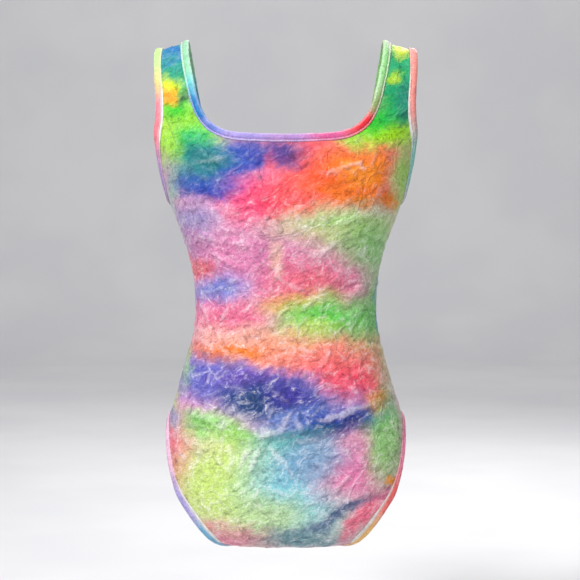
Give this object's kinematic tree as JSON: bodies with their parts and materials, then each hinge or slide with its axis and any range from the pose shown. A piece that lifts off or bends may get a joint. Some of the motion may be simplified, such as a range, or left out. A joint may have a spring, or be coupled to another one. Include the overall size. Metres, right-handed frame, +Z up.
{
  "type": "gymnastics leotard",
  "caption": "Sleeveless tank leotard in tie-dyed crushed velvet, with a square scoop neck, bound edges and a bodysuit leg line.",
  "frame": {"origin": "middle of the crotch, at the underside of the wearer's body", "axes": "+Z up to the shoulders, front of the garment faces -Y, +X is the wearer's left"},
  "size_m": [0.312, 0.2295, 0.6039],
  "materials": {
    "velvet": "multicolour tie-dyed crushed stretch velvet with a soft sheen",
    "binding": "tie-dyed stretch velvet folded over elastic and topstitched",
    "lining": "matte off-white stretch jersey",
    "elastic": "matte white braided elastic",
    "thread": "overlocked pale thread",
    "label": "white satin ribbon, blank"
  },
  "bodies": {
    "root": {"front_panel": "velvet", "back_panel": "velvet", "gusset_lining": "lining", "neck_binding": "binding", "left_armhole_binding": "binding", "right_armhole_binding": "binding", "left_leg_binding": "binding", "right_leg_binding": "binding", "neck_elastic": "elastic", "left_armhole_elastic": "elastic", "right_armhole_elastic": "elastic", "left_leg_elastic": "elastic", "right_leg_elastic": "elastic", "left_side_seam": "thread", "right_side_seam": "thread", "left_shoulder_seam": "thread", "right_shoulder_seam": "thread", "crotch_seam": "thread", "care_label": "label"}
  },
  "joints": []
}
